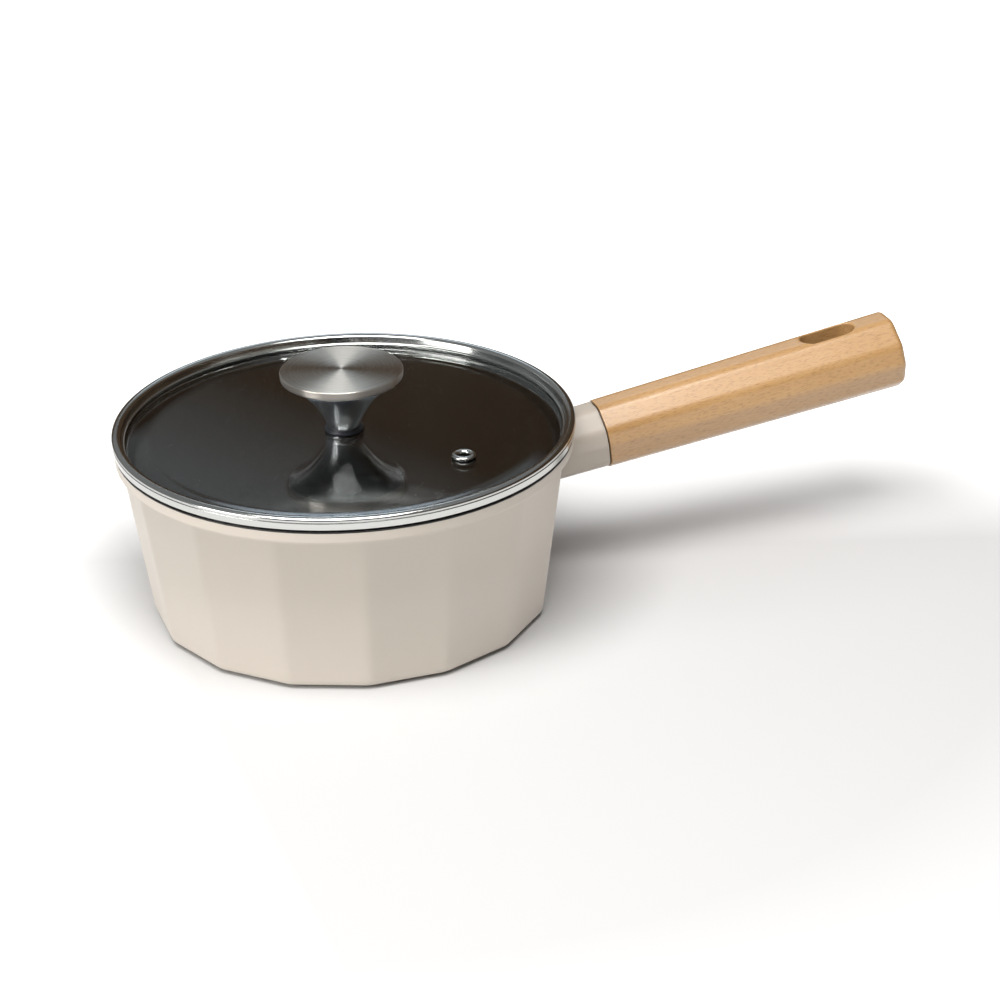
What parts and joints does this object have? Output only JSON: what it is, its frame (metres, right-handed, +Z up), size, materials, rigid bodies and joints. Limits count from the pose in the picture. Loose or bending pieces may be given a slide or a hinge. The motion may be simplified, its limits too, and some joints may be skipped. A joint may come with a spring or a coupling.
{
  "type": "saucepan with glass lid",
  "caption": "Faceted saucepan in beige paint with a beech handle, a steel-rimmed glass lid that lifts off, and a turned steel knob.",
  "frame": {"origin": "on the pan's axis, on the surface the pan stands on", "axes": "+X from the pan's axis towards the handle, +Z up along the pan's axis, +Y completes a right-handed frame"},
  "size_m": [0.3526, 0.195, 0.1073],
  "materials": {
    "pan_paint": "satin",
    "plate_steel": "brushed",
    "silicone": "matte",
    "beech": "oiled",
    "lid_glass": "clear",
    "ring_steel": "polished",
    "knob_steel": "circular brushed"
  },
  "bodies": {
    "pan": {"pan_body": "pan_paint", "induction_plate": "plate_steel", "handle_collar": "pan_paint", "collar_gasket": "silicone", "handle_grip": "beech", "grip_screw_1": "plate_steel", "grip_screw_2": "plate_steel"},
    "lid": {"lid_glass": "lid_glass", "lid_ring": "ring_steel", "vent_eyelet": "ring_steel", "vent_gasket": "silicone", "vent_washer": "plate_steel", "knob_disc": "knob_steel", "knob_stem": "ring_steel", "knob_top_gasket": "silicone", "knob_bottom_gasket": "silicone", "knob_washer": "plate_steel", "knob_screw": "plate_steel"}
  },
  "joints": [
    {"name": "lid_lift", "type": "slide", "parent": "pan", "child": "lid", "axis": [0, 0, 1], "range_m": [0, 0.12]}
  ]
}
